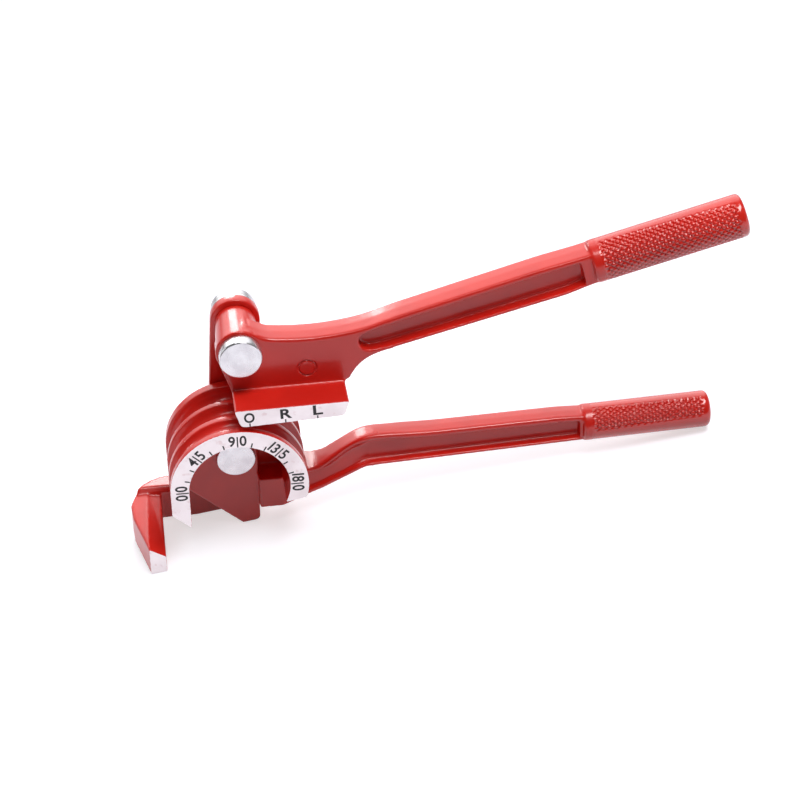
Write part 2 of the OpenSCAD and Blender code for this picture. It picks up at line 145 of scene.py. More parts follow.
def copy_solids(name, *nodes):
    select_only(*[frame["nodes"][n] for n in nodes])
    bpy.ops.object.duplicate()
    for copy in bpy.context.selected_objects:
        for key in list(copy.keys()):
            del copy[key]
    bpy.ops.object.parent_clear(type="CLEAR_KEEP_TRANSFORM")
    if len(nodes) > 1:
        bpy.ops.object.join()
    piece = bpy.context.object
    piece.name = piece.data.name = name
    piece.data.materials.clear()
    edit_all(piece)
    bpy.ops.mesh.remove_doubles(threshold=TOUCH)
    leave_edit()
    return piece


def shape_with(piece, kind, **settings):
    select_only(piece)
    tool = piece.modifiers.new(kind.lower(), kind)
    for key, value in settings.items():
        setattr(tool, key, value)
    bpy.ops.object.modifier_apply(modifier=tool.name)


def pick(piece, kind, test):
    """Selects the faces or edges that pass a test, and leaves the piece in edit mode."""
    edit_all(piece)
    bpy.ops.mesh.select_mode(type=kind)
    bpy.ops.mesh.select_all(action="DESELECT")
    leave_edit()
    items = piece.data.polygons if kind == "FACE" else piece.data.edges
    flags = [bool(test(item)) for item in items]
    items.foreach_set("select", flags)
    bpy.ops.object.mode_set(mode="EDIT")
    return sum(flags)


def pick_faces(piece, test):
    """Picks the faces for which test(centre, normal) is true."""
    return pick(piece, "FACE", lambda face: test(face.center, face.normal))


def pick_edges(piece, test):
    """Picks the edges for which test(one end, other end) is true."""
    return pick(piece, "EDGE", lambda edge: test(*(piece.data.vertices[k].co for k in edge.vertices)))


# %% [markdown]
# The two big pieces are castings. On the real tool every edge is a soft radius and every inner
# corner a fillet, because molten metal fills a mould that way. A bevel on each CAD edge would need
# clean edge loops, which a solid with grooves and channels doesn't have. Here the solids of one
# casting are melted into one skin instead: a voxel remesh joins them, smoothing rounds the corners
# as a mould would, and decimation brings the count of triangles back. Where a form should flow and
# not just be rounded, a vertex group, weighed by the place along the handle and the height on it,
# holds a second and longer smoothing. Before all that, the front faces get a little extra stock,
# which the grinder takes off again later.

# %% Melt the solids of a casting into one skin
FRONT = DIAL_CENTRE.y
FRONT_SLACK = 0.02 * MM
STOCK = 0.45 * MM
FLOW_ROUNDS = 45


def ease(low, high, x):
    x = min(1.0, max(0.0, (x - low) / (high - low)))
    return x * x * (3 - 2 * x)


def column_spans(piece, x_from):
    """The lowest and the highest point of a piece in each millimetre along x."""
    spans = {}
    for vert in piece.data.vertices:
        if vert.co.x / MM >= x_from - 1:
            column = round(vert.co.x / MM)
            low, high = spans.get(column, (math.inf, -math.inf))
            spans[column] = min(low, vert.co.z), max(high, vert.co.z)
    return spans


def weigh(piece, name, x_from, weight):
    """Makes a vertex group from a function of x in mm and of the height between bottom (0) and top (1)."""
    spans = column_spans(piece, x_from)
    group = piece.vertex_groups.new(name=name)
    for vert in piece.data.vertices:
        x = vert.co.x / MM
        if x >= x_from:
            low, high = spans[round(x)]
            amount = weight(x, (vert.co.z - low) / (high - low))
            if amount > 0:
                group.add([vert.index], amount, "REPLACE")


def melt(name, nodes, rims, voxel, rounds, triangles, flowing=None):
    piece = copy_solids(name, *nodes)
    stocked = pick_faces(piece, lambda c, n: n.y < -0.99 and c.y < FRONT + FRONT_SLACK)
    bpy.ops.transform.translate(value=(0, -STOCK, 0))
    select_only(piece, *rims)
    bpy.ops.object.join()
    shape_with(piece, "REMESH", mode="VOXEL", voxel_size=voxel * MM, use_smooth_shade=True)
    shape_with(piece, "SMOOTH", factor=0.5, iterations=rounds)
    if flowing:
        weigh(piece, "flowing", *flowing)
        shape_with(piece, "SMOOTH", factor=0.5, iterations=FLOW_ROUNDS, vertex_group="flowing")
        piece.vertex_groups.clear()
    count = 2 * len(piece.data.polygons)
    shape_with(piece, "DECIMATE", ratio=min(1.0, triangles / count))
    print(name, "front faces with stock", stocked, "skin", count, "->", len(piece.data.polygons))
    return piece


# %% [markdown]
# The handles are rounder than the rest: their long upper and lower rims have a radius of a
# millimetre or more. Their copies get a bevel on just those edges before the melting. A rim edge is found
# by its place: it runs along the handle, and it lies on the highest or the lowest line of the
# solid. The two halves of the mould met along the middle of the handles' top, so a faint ridge runs
# there. A bisect at half depth gives the points for it.

# %% Round the long rims of the handles
RIDGE = 0.4 * MM
RIM_BAND = 0.7
UPPER_MIDDLE, LOWER_MIDDLE = -6.65, -4.15


def long_rims(piece, x_from):
    """Marks each edge that runs along the top (1) or the bottom (-1) line of the piece, others with 0."""
    highest, lowest = {}, {}
    points = [v.co / MM for v in piece.data.vertices]
    samples = []
    for edge in piece.data.edges:
        one, two = points[edge.vertices[0]], points[edge.vertices[1]]
        steps = max(2, int((two - one).length))
        line = [one.lerp(two, k / steps) for k in range(steps + 1)]
        samples.append(line)
        for spot in line:
            column = round(spot.x)
            highest[column] = max(highest.get(column, -math.inf), spot.z)
            lowest[column] = min(lowest.get(column, math.inf), spot.z)
    marks = []
    for line in samples:
        way = (line[-1] - line[0]).normalized()
        middle = line[len(line) // 2]
        column = round(middle.x)
        along = abs(way.x) > 0.75 and abs(way.y) < 0.1 and middle.x > x_from
        if along and middle.z > highest[column] - RIM_BAND:
            marks.append(1)
        elif along and middle.z < lowest[column] + RIM_BAND:
            marks.append(-1)
        else:
            marks.append(0)
    return marks


def round_rims(node, top, bottom, x_from, middle=None):
    piece = copy_solids(node + "_rounded", node)
    edit_all(piece)
    bpy.ops.mesh.dissolve_limited(angle_limit=FLAT_ANGLE)
    if middle is not None:
        bpy.ops.mesh.select_all(action="SELECT")
        bpy.ops.mesh.bisect(plane_co=(0, middle * MM, 0), plane_no=BEHIND, threshold=TOUCH)
        leave_edit()
        marks = iter(long_rims(piece, x_from))
        here = pick_edges(piece, lambda one, two: next(marks) == 1 and abs(one.y / MM - middle) < 0.01)
        bpy.ops.transform.translate(value=(0, 0, RIDGE))
        print(node, "ridge edges:", here)
    leave_edit()
    for side, radius in ((1, top), (-1, bottom)):
        if radius > 0:
            marks = iter(long_rims(piece, x_from))
            found = pick_edges(piece, lambda one, two: next(marks) == side
                               and (middle is None or abs(one.y / MM - middle) > 1))
            bpy.ops.mesh.bevel(offset=radius * MM, segments=4, affect="EDGES", clamp_overlap=False)
            leave_edit()
            print(node, "rim edges rounded:", found)
    return piece


# %% [markdown]
# The hollow of the lower handle runs on along its neck until it meets the die. A prism with the
# neck's own curve, a little inside its rims, is taken away with a boolean before the melting, so
# that its corners come out as soft as all the others. The prism starts in front of the neck, so
# that it cuts the face cleanly.

# %% Hollow of the neck
NECK_TOP = ((22, 22.0), (30, 22.1), (35, 22.2), (38, 22.8), (43, 24.9), (48, 27.4), (53, 29.4), (57.5, 30.0))
NECK_LOW = ((22, 11.0), (28, 12.9), (35, 14.5), (40, 16.1), (45, 17.6), (48, 18.7), (52, 19.8), (57.5, 20.1))
NECK_FRONT, NECK_HOLLOW, CUTTER_LEAD = -9.4, 2.4, 1


def hollow_neck(neck):
    outline = [(x * MM, (NECK_FRONT - CUTTER_LEAD) * MM, z * MM) for x, z in NECK_LOW + NECK_TOP[::-1]]
    shape = bpy.data.meshes.new("neck_cutter")
    shape.from_pydata(outline, [], [tuple(range(len(outline)))])
    cutter = bpy.data.objects.new("neck_cutter", shape)
    bpy.context.collection.objects.link(cutter)
    shape_with(cutter, "SOLIDIFY", thickness=(NECK_HOLLOW + CUTTER_LEAD) * MM, offset=-1)
    edit_all(cutter)
    bpy.ops.mesh.normals_make_consistent(inside=False)
    leave_edit()
    before = len(neck.data.polygons)
    shape_with(neck, "BOOLEAN", operation="DIFFERENCE", object=cutter, solver="EXACT")
    bpy.data.objects.remove(cutter)
    print("neck hollowed:", before, "->", len(neck.data.polygons), "faces")
    return neck


# %% [markdown]
# Now the two castings are melted, both with the same fineness, so that their surfaces match. The
# neck of the lower one swings down from the handle to the die. Its top is where the form should
# flow, so the longer smoothing goes there and fades out along the handle.

# %% Melt both castings
CASTING = {"voxel": 0.5, "rounds": 6, "triangles": 170000}
FLOW_FROM = 34


def neck_flow(x, height):
    return ease(FLOW_FROM, 40, x) * ease(76, 66, x) * ease(0.6, 0.78, height)


lower_casting = melt(
    "lower_casting",
    ["dial_face", "die_rim", "die_hub", "hook_bar", "hook_finger", "hook_tip", "lower_grip"],
    [hollow_neck(round_rims("lower_neck", top=1.4, bottom=0, x_from=32)),
     round_rims("lower_beam", top=1.4, bottom=1.0, x_from=0, middle=LOWER_MIDDLE)],
    flowing=(FLOW_FROM, neck_flow), **CASTING)
lever_casting = melt(
    "lever_casting",
    ["index_strip", "forming_shoe", "lever_grip"],
    [round_rims("lever_web", top=1.3, bottom=0, x_from=17, middle=UPPER_MIDDLE),
     round_rims("lever_beam", top=1.3, bottom=1.1, x_from=0, middle=UPPER_MIDDLE)],
    **CASTING)

# %% [markdown]
# After painting, the dial, the tip of the hook and the strip with the index marks are ground flat
# and stay bare. Bisect works like the grinder: one plane cuts the stock off and fills the cut. The
# filled face is then copied into a piece of its own, a thin bare skin just in front of the paint.

# %% Grind the front faces bare
SKIN_LIFT = 0.02 * MM
SKIN_THICK = 0.2 * MM


def cut_off(piece, place, outward):
    """Cuts off what lies beyond a plane, closes the cut and leaves the piece in edit mode."""
    edit_all(piece)
    bpy.ops.mesh.bisect(plane_co=place, plane_no=outward, use_fill=True, clear_outer=True, threshold=TOUCH)


def grind(piece):
    cut_off(piece, (0, FRONT, 0), -BEHIND)
    pick_faces(piece, lambda c, n: n.y < -0.999 and abs(c.y - FRONT) < TOUCH)
    bpy.ops.mesh.duplicate()
    bpy.ops.mesh.separate(type="SELECTED")
    leave_edit()
    skin = [o for o in bpy.context.selected_objects if o is not piece][0]
    edit_all(skin)
    bpy.ops.transform.translate(value=(0, -SKIN_LIFT, 0))
    leave_edit()
    shape_with(skin, "SOLIDIFY", thickness=SKIN_THICK, offset=-1)
    bpy.ops.object.shade_flat()
    return skin


bare_faces = grind(lower_casting)
edit_all(bare_faces)
bpy.ops.mesh.separate(type="LOOSE")
leave_edit()
loose = sorted(bpy.context.selected_objects, key=lambda o: -len(o.data.vertices))
print("bare skins on the lower casting:", [len(o.data.vertices) for o in loose])
dial_skin, hook_skin = loose[0], loose[1]
dial_skin.name, hook_skin.name = "dial_skin", "hook_skin"
index_skin = grind(lever_casting)
index_skin.name = "index_skin"

# %% [markdown]
# The mould's ejector pin left a round mark on the web, a fine circle. It is cut into the skin with
# a ring, because the melting would wash out so thin a line.

# %% Ejector mark on the web
STRIP_TILT = math.radians(2.3)
strip_right = RIGHT * math.cos(STRIP_TILT) + UP * math.sin(STRIP_TILT)
strip_up = UP * math.cos(STRIP_TILT) - RIGHT * math.sin(STRIP_TILT)
EJECTOR_ALONG, EJECTOR_DOWN, EJECTOR_BEHIND = 27.5, 11.6, 15.5
EJECTOR_RADIUS, EJECTOR_LINE = 3.75, 0.62
ejector_way = strip_right * EJECTOR_ALONG - strip_up * EJECTOR_DOWN + BEHIND * EJECTOR_BEHIND
bpy.ops.object.select_all(action="DESELECT")
bpy.ops.mesh.primitive_torus_add(
    major_segments=64, minor_segments=10, major_radius=EJECTOR_RADIUS * MM, minor_radius=EJECTOR_LINE * MM,
    location=LEVER_PIN + ejector_way * MM, rotation=(math.pi / 2, 0, 0))
ring = bpy.context.object
shape_with(lever_casting, "BOOLEAN", operation="DIFFERENCE", object=ring, solver="EXACT")
bpy.data.objects.remove(ring)
print("web with its mark:", len(lever_casting.data.polygons), "faces")

# %% [markdown]
# Each grip is a round bar whose front and back carry a cast diamond knurl. A strip along the top
# and one along the bottom stay smooth, where the two halves of the mould met, and on the back these
# strips are wide. A grip starts as a cylinder that is cut into fine rings. A vertex group then
# holds the depth of the grooves as weights, and a Displace modifier presses the surface in by them.
# The diamonds between keep a nearly flat crown, because the crowns are what glitters in the light.
# The pattern is real geometry, so it holds from near and from every side. The bare strips are given
# by four angles from the top, in degrees: where the upper strip ends at the two ends of the grip,
# and where the lower strip begins.

# %% Knurled grips
KNURL_DEPTH = 0.65 * MM
KNURL_PITCH = 2.9
KNURL_AROUND = 22
CROWN_CUT, GROOVE_CUT, GROOVE_FROM = 0.15, 0.85, 0.58
UPPER_FADE, LOWER_FADE = (-0.06, 0.14), (0.1, -0.15)
START_FADE, END_FADE = (0.3, 1.5), (0.8, 2.2)
BACK_BARE = (45, 45, 140, 140)
RING_STEP = 0.42
GRIP_SIDES = 192
END_ROUND, END_STEPS = 2.2, 6
SAME_LEVEL = 1e-7


def knurl_weight(along, angle, length, bare):
    """How deep the knurl goes at a place along the grip in mm and round it in radians, 0 on top."""
    one = along / KNURL_PITCH + angle * KNURL_AROUND / (2 * math.pi)
    two = along / KNURL_PITCH - angle * KNURL_AROUND / (2 * math.pi)
    off_centre = max(abs(2 * (one % 1) - 1), abs(2 * (two % 1) - 1))
    cut = CROWN_CUT * off_centre ** 2 + GROOVE_CUT * ease(GROOVE_FROM, 1.0, off_centre)
    share = along / length
    bare = bare if angle > 0 else BACK_BARE
    upper = math.radians(bare[0] + (bare[1] - bare[0]) * share)
    lower = math.radians(bare[2] + (bare[3] - bare[2]) * share)
    off = abs(angle)
    sides = (ease(upper + UPPER_FADE[0], upper + UPPER_FADE[1], off)
             * ease(lower + LOWER_FADE[0], lower + LOWER_FADE[1], off))
    ends = ease(*START_FADE, along) * ease(*END_FADE, length - along)
    return cut * sides * ends


def round_end(grip, radius):
    """Draws the far ring on in small steps along a quarter circle and closes both ends."""
    for step in range(1, END_STEPS + 1):
        before, now = (math.radians(90 / END_STEPS * k) for k in (step - 1, step))
        top = max(v.co.z for v in grip.data.vertices)
        rise = END_ROUND * (math.sin(now) - math.sin(before))
        wide = (radius - END_ROUND * (1 - math.cos(now))) / (radius - END_ROUND * (1 - math.cos(before)))
        pick_edges(grip, lambda one, two: min(one.z, two.z) > top - SAME_LEVEL)
        bpy.ops.mesh.extrude_region_move(TRANSFORM_OT_translate={"value": (0, 0, rise * MM)})
        bpy.ops.transform.resize(value=(wide, wide, 1), center_override=(0, 0, top + rise * MM))
        leave_edit()
    bpy.ops.object.mode_set(mode="EDIT")
    bpy.ops.mesh.select_mode(type="EDGE")
    bpy.ops.mesh.select_all(action="DESELECT")
    bpy.ops.mesh.select_non_manifold(
        extend=False, use_wire=False, use_multi_face=False, use_non_contiguous=False, use_verts=False)
    bpy.ops.mesh.fill_holes(sides=0)
    bpy.ops.mesh.select_all(action="SELECT")
    bpy.ops.mesh.normals_make_consistent(inside=False)
    leave_edit()


def knurled_grip(name, radius, length, start, way, bare):
    select_only(lower_casting)
    bpy.ops.mesh.primitive_cylinder_add(
        vertices=GRIP_SIDES, radius=radius * MM, depth=length * MM, end_fill_type="NOTHING",
        location=(0, 0, 0))
    grip = bpy.context.object
    grip.name = grip.data.name = name
    for cuts in (1, int(length / RING_STEP / 2)):
        pick_edges(grip, lambda one, two: abs(one.z - two.z) > TOUCH)
        bpy.ops.mesh.subdivide(number_cuts=cuts)
        leave_edit()
    pattern = grip.vertex_groups.new(name="knurl")
    for vert in grip.data.vertices:
        along = vert.co.z / MM + length / 2
        weight = knurl_weight(along, math.atan2(vert.co.y, vert.co.x), length, bare)
        if weight > 0:
            pattern.add([vert.index], weight, "REPLACE")
    shape_with(grip, "DISPLACE", direction="NORMAL", strength=-KNURL_DEPTH, mid_level=0.0,
               vertex_group="knurl")
    round_end(grip, radius)
    above = Vector((-way.z, 0, way.x))
    upright = Matrix((above, -BEHIND, way)).transposed().to_4x4()
    grip.matrix_world = Matrix.Translation(start + way * length / 2 * MM) @ upright
    select_only(grip)
    bpy.ops.object.transform_apply(location=True, rotation=True, scale=True)
    grip.vertex_groups.clear()
    print(name, len(grip.data.polygons), "faces")
    return grip


UPPER_WAY = Vector((0.99276, 0, 0.12014)).normalized()
UPPER_START = Vector((164.742, UPPER_MIDDLE, 98.375)) * MM
LOWER_WAY = Vector((0.99337, 0, -0.11494)).normalized()
LOWER_START = Vector((152.258, LOWER_MIDDLE, 14.685)) * MM
COLLAR = 4.0


def swap_grip(casting, name, radius, length, start, way, bare):
    """Cuts the casting off behind its smooth collar and puts the knurled bar on."""
    cut = start + way * COLLAR * MM
    cut_off(casting, cut, way)
    leave_edit()
    return knurled_grip(name, radius, length - COLLAR - END_ROUND, cut, way, bare)


upper_grip = swap_grip(lever_casting, "upper_grip_knurl", radius=9.35, length=67.0, start=UPPER_START,
                       way=UPPER_WAY, bare=(4, 20, 150, 155))
lower_grip = swap_grip(lower_casting, "lower_grip_knurl", radius=8.15, length=57.33, start=LOWER_START,
                       way=LOWER_WAY, bare=(8, 14, 92, 76))

# %% [markdown]
# The melting has drawn the handles' rims in a little, and on the real tool the upper handle has a
# strong lip below its hollow. Weights that follow the height of the handle, taken column by column,
# let a Displace modifier raise the tops and lower the lip without moving the rest. Each set of
# weights fades in and out between places along the handle, given in millimetres.

# %% Fill out the rims of the handles
TOP_BAND, LIP_BAND = (0.6, 0.95), (0.5, 0.05)
LEVER_TOP_FROM, LEVER_LIP_FROM, NECK_TOP_FROM = 62, 60, 31
LESS_ON_BEAM = 0.6


def lever_top(x, height):
    return ease(LEVER_TOP_FROM, 84, x) * ease(162, 140, x) * ease(*TOP_BAND, height)


def lever_lip(x, height):
    return ease(LEVER_LIP_FROM, 76, x) * ease(166, 150, x) * ease(*LIP_BAND, height)


def neck_top(x, height):
    share = 1 - LESS_ON_BEAM * ease(58, 92, x)
    return ease(NECK_TOP_FROM, 50, x) * share * ease(157, 140, x) * ease(*TOP_BAND, height)


def fill_out(casting, name, x_from, amount, weight):
    weigh(casting, name, x_from, weight)
    shape_with(casting, "DISPLACE", direction="Z", strength=amount * MM, mid_level=0.0, vertex_group=name)
    casting.vertex_groups.clear()
    print(casting.name, name, "by", amount, "mm")


fill_out(lever_casting, "raised", LEVER_TOP_FROM, 0.7, lever_top)
fill_out(lever_casting, "lowered", LEVER_LIP_FROM, -1.3, lever_lip)
fill_out(lower_casting, "raised", NECK_TOP_FROM, 2.0, neck_top)

# %% [markdown]
# The link is a flat bar under the same red enamel, and the pins are turned steel with flat heads.
# Their CAD shapes are right, but a real edge is never perfectly sharp. Copies of them get merged
# faces and a small bevel, which catches the light along the rims.

# %% Bevel the link, pins, washers and heads


def soften(name, node, width):
    piece = copy_solids(name, node)
    edit_all(piece)
    bpy.ops.mesh.dissolve_limited(angle_limit=FLAT_ANGLE)
    leave_edit()
    shape_with(piece, "BEVEL", width=width * MM, segments=3, limit_method="ANGLE",
               angle_limit=math.radians(40))
    select_only(piece)
    bpy.ops.object.shade_smooth_by_angle(angle=math.radians(30))
    print(name, len(piece.data.polygons), "faces")
    return piece


link = soften("link", "link_bar", 0.7)
steel_parts = {node: soften(name, node, width) for node, name, width in (
    ("die_pin", "die_pin_turned", 0.5),
    ("die_pin_washer", "die_washer_turned", 0.25),
    ("die_pin_cap", "die_cap_turned", 0.5),
    ("lever_pin", "lever_pin_turned", 0.5),
    ("lever_pin_washer", "lever_washer_turned", 0.25),
    ("lever_pin_cap", "lever_cap_turned", 0.7),
)}

# %% [markdown]
# The dial and the strip below the lever carry stamped marks that are filled with black. Text
# objects give the digits and letters, and flat cubes the ticks. Each is made a mesh, then laid on
# the face by a matrix whose columns are its reading direction, its up direction and its way out of
# the face. A texture could carry such marks too, but a mesh stays sharp from near.

# %% Tools for stamping
stamped = []
MARK_RISE = 0.05
CAPITAL_SHARE, LETTER_SPACE = 0.69, 0.78
TEXT_RISE, TICK_THICK = 0.015, 0.03


def lay_on_face(thing, place, reading, upward):
    outward = reading.normalized().cross(upward)
    laid = Matrix((reading, upward, outward)).transposed().to_4x4()
    thing.matrix_world = Matrix.Translation(place) @ laid
    select_only(thing)
    bpy.ops.object.transform_apply(location=True, rotation=True, scale=True)
    stamped.append(thing)


def stamp_text(words, tall, squeeze, bold, side, place, reading, upward):
    select_only(lower_casting)
    bpy.ops.object.text_add(location=(0, 0, 0))
    text = bpy.context.object
    text.data.body = words
    text.data.size = tall / CAPITAL_SHARE * MM
    text.data.align_x = side
    text.data.space_character = LETTER_SPACE
    text.data.extrude = TEXT_RISE * MM
    text.data.offset = bold * MM
    bpy.ops.object.convert(target="MESH")
    lay_on_face(bpy.context.object, place, reading * squeeze, upward)


def stamp_tick(low, high, wide, place, reading, upward):
    select_only(lower_casting)
    bpy.ops.mesh.primitive_cube_add(size=1, location=(0, (low + high) / 2 * MM, 0))
    tick = bpy.context.object
    tick.scale = (wide * MM, (high - low) * MM, TICK_THICK * MM)
    bpy.ops.object.transform_apply(location=True, rotation=True, scale=True)
    lay_on_face(tick, place, reading, upward)


def dial_directions(degrees):
    around = math.radians(180 - degrees)
    upward = RIGHT * math.cos(around) + UP * math.sin(around)
    reading = RIGHT * math.sin(around) - UP * math.cos(around)
    return reading, upward


def join_marks(name):
    select_only(*stamped)
    bpy.ops.object.join()
    piece = bpy.context.object
    piece.name = piece.data.name = name
    stamped.clear()
    print(name, len(piece.data.polygons), "faces")
    return piece


# %% [markdown]
# The dial shows degrees: the digits stand on both sides of a long tick every 45 degrees, and short
# ticks stand every 15 degrees between. A number is stamped in two halves, left and right of its
# tick, so that the gap for the tick is the same for all.

# %% Stamp the dial
DIGIT_FOOT, DIGIT_ASIDE = 22.5, 0.85
DIGIT_LOOK = {"tall": 4.9, "squeeze": 0.86, "bold": 0.14}
TICK_FOOT, SHORT_TICK, LONG_TICK, DIAL_TICK_WIDE = 21.8, 24.0, 27.2, 0.58
dial_zero = on_dial(0, 0, -MARK_RISE)
HALVES = {0: ("0", "0"), 45: ("4", "5"), 90: ("9", "0"), 135: ("13", "5"), 180: ("18", "0")}
for degrees, (left, right) in HALVES.items():
    reading, upward = dial_directions(degrees)
    foot = dial_zero + upward * DIGIT_FOOT * MM
    aside = reading * DIGIT_ASIDE * MM
    for words, side, place in ((left, "RIGHT", foot - aside), (right, "LEFT", foot + aside)):
        stamp_text(words, side=side, place=place, reading=reading, upward=upward, **DIGIT_LOOK)
for degrees in range(0, 181, 15):
    reading, upward = dial_directions(degrees)
    tip = LONG_TICK if degrees % 45 == 0 else SHORT_TICK
    stamp_tick(TICK_FOOT, tip, DIAL_TICK_WIDE, dial_zero, reading, upward)
dial_marks = join_marks("dial_marks")

# %% [markdown]
# The strip carries O, R and L, each over a tick of its own. The letters are wider or narrower than
# the font draws them, so each has its own squeeze.

# %% Stamp the strip
LETTER_TALL, LETTER_BOLD, LETTER_DOWN = 4.6, 0.17, 24.9
STRIP_TICK = (-27.0, -25.4, 0.55)
strip_zero = LEVER_PIN - BEHIND * MARK_RISE * MM
for letter, along, squeeze in (("O", 0.7, 0.85), ("R", 15.7, 1.2), ("L", 29.2, 1.35)):
    here = strip_zero + strip_right * along * MM
    place = here - strip_up * LETTER_DOWN * MM
    stamp_text(letter, LETTER_TALL, squeeze, LETTER_BOLD, "CENTER", place, strip_right, strip_up)
    stamp_tick(*STRIP_TICK, here, strip_right, strip_up)
index_marks = join_marks("index_marks")

# %% [markdown]
# Materials are networks of nodes, and their maths reads best as Python. The class Value wraps one
# output socket: adding, subtracting or multiplying adds a Math node. The class Finish holds one
# material and has a single method that adds any other kind of node.

# %% Shader maths


class Value:
    def __init__(self, socket):
        self.socket = socket

    def maths(self, operation, first, second):
        tree = self.socket.id_data
        step = tree.nodes.new("ShaderNodeMath")
        step.operation = operation
        for entry, item in zip(step.inputs, (first, second)):
            plug(tree, entry, item)
        return Value(step.outputs[0])

    def __add__(self, other):
        return self.maths("ADD", self, other)

    def __radd__(self, other):
        return self.maths("ADD", other, self)

    def __sub__(self, other):
        return self.maths("SUBTRACT", self, other)

    def __rsub__(self, other):
        return self.maths("SUBTRACT", other, self)

    def __mul__(self, other):
        return self.maths("MULTIPLY", self, other)

    def __rmul__(self, other):
        return self.maths("MULTIPLY", other, self)


def plug(tree, entry, item):
    if isinstance(item, Value):
        tree.links.new(item.socket, entry)
    else:
        entry.default_value = item


class Finish:
    def __init__(self, name):
        self.material = bpy.data.materials.new(name)
        self.material.use_nodes = True
        self.tree = self.material.node_tree
        self.shader = self.tree.nodes["Principled BSDF"]
        self.place = self.node("ShaderNodeTexCoord", output="Object")

    def node(self, kind, settings=None, sockets=None, output=0):
        made = self.tree.nodes.new(kind)
        for key, value in (settings or {}).items():
            setattr(made, key, value)
        for key, item in (sockets or {}).items():
            plug(self.tree, made.inputs[key], item)
        return Value(made.outputs[output])

    def set(self, **sockets):
        for key, item in sockets.items():
            plug(self.tree, self.shader.inputs[key.replace("_", " ")], item)

    def noise(self, scale, detail, stretch=(1, 1, 1)):
        where = self.node("ShaderNodeMapping", None, {"Vector": self.place, "Scale": stretch})
        sockets = {"Vector": where, "Scale": scale, "Detail": detail}
        return self.node("ShaderNodeTexNoise", None, sockets, "Fac")

    def ramp(self, value, low, high):
        return self.node("ShaderNodeMapRange", {"interpolation_type": "SMOOTHSTEP"},
                         {"Value": value, "From Min": low, "From Max": high})

    def mix(self, mask, one, two):
        return self.node("ShaderNodeMix", {"data_type": "RGBA"}, {0: mask, 6: one, 7: two}, 2)

    def bump(self, height, strength, distance):
        sockets = {"Height": height, "Strength": strength, "Distance": distance}
        return self.node("ShaderNodeBump", None, sockets)


# %% [markdown]
# The castings are dipped or sprayed in glossy red enamel. Seen close, such paint has a faint orange
# peel, a slight change of depth where it is thin or thick, and a hard clear gloss. The colour mixes
# two reds by slow noise, the roughness wanders a little, and two noises give the bump: broad runs
# of the paint, and a fine peel on them. The bump stays small, because a strong one would break the
# reflections into glitter. The grips are polished by hands, so their enamel is a little smoother.

# %% Red enamel


def red_enamel(name, rough, coat):
    enamel = Finish(name)
    slow = enamel.noise(38.0, 2.0)
    runs = enamel.noise(130.0, 1.0)
    peel = enamel.noise(420.0, 1.0)
    thin = enamel.ramp(slow, 0.35, 0.7)
    red = enamel.mix(thin, (0.64, 0.016, 0.0095, 1), (0.73, 0.020, 0.0105, 1))
    dust = enamel.ramp(enamel.noise(1300.0, 2.0), 0.68, 0.78) * 0.3
    enamel.set(
        Base_Color=enamel.mix(dust, red, (0.42, 0.009, 0.008, 1)),
        Roughness=rough + 0.12 * slow,
        Normal=enamel.bump(runs + peel * 0.18, 0.35, 0.0005),
        Coat_Weight=coat,
        Coat_Roughness=0.1,
    )
    print(name, "has", len(enamel.tree.nodes), "nodes")
    return enamel


enamel = red_enamel("red_enamel_gloss", 0.24, 0.35)
grip_enamel = red_enamel("red_enamel_handled", 0.14, 0.7)

# %% [markdown]
# The ground faces are bare alloy. The grinder leaves fine scratches that all run one way, with a
# few deeper ones. Noise that is squeezed along one direction looks like that. The scratches change
# the roughness and a faint bump. A trace of red paint stays in the pits of the casting, so the grey
# is a little pink in places.

# %% Ground alloy
alloy = Finish("ground_alloy")
scratch = alloy.noise(260.0, 4.0, (0.35, 1, 9))
cloud = alloy.noise(90.0, 3.0)
dull = alloy.ramp(cloud, 0.35, 0.75)
grey = alloy.mix(dull, (0.93, 0.865, 0.875, 1), (0.82, 0.745, 0.755, 1))
stain = alloy.ramp(alloy.noise(330.0, 4.0), 0.60, 0.72) * 0.35
alloy.set(
    Base_Color=alloy.mix(stain, grey, (0.62, 0.40, 0.40, 1)),
    Roughness=0.26 + 0.2 * scratch,
    Normal=alloy.bump(scratch, 0.35, 0.0001),
    Metallic=0.85,
)
print("ground alloy has", len(alloy.tree.nodes), "nodes")

# %% [markdown]
# The pins were turned on a lathe, so their heads carry fine rings about the pin's own axis. The
# distance from the axis gives the rings. Each pin has its own axis, so the finish is made once for
# each of the two pins.

# %% Turned steel


def turned_steel(name, centre):
    steel = Finish(name)
    away = steel.node("ShaderNodeVectorMath", {"operation": "MULTIPLY_ADD"},
                      {0: steel.place, 1: (1, 0, 1), 2: (-centre.x, 0, -centre.z)})
    radius = steel.node("ShaderNodeVectorMath", {"operation": "LENGTH"}, {0: away}, "Value")
    rings = steel.node("ShaderNodeTexNoise", {"noise_dimensions": "1D"},
                       {"W": radius, "Scale": 2600.0, "Detail": 2.0}, "Fac")
    cloud = steel.noise(160.0, 4.0)
    dull = steel.ramp(cloud, 0.3, 0.75)
    steel.set(
        Base_Color=steel.mix(dull, (0.82, 0.82, 0.84, 1), (0.68, 0.67, 0.70, 1)),
        Roughness=0.16 + 0.1 * rings + 0.12 * cloud,
        Normal=steel.bump(rings * 0.6 + cloud * 0.4, 0.25, 0.00008),
        Metallic=0.9,
    )
    print(name, "has", len(steel.tree.nodes), "nodes")
    return steel


die_steel = turned_steel("turned_steel_die", DIAL_CENTRE)
lever_steel = turned_steel("turned_steel_lever", LEVER_PIN)

# %% [markdown]
# The stamped marks are filled with black. Wiped paint is a little thin in places, so the black goes
# to dark grey by noise.

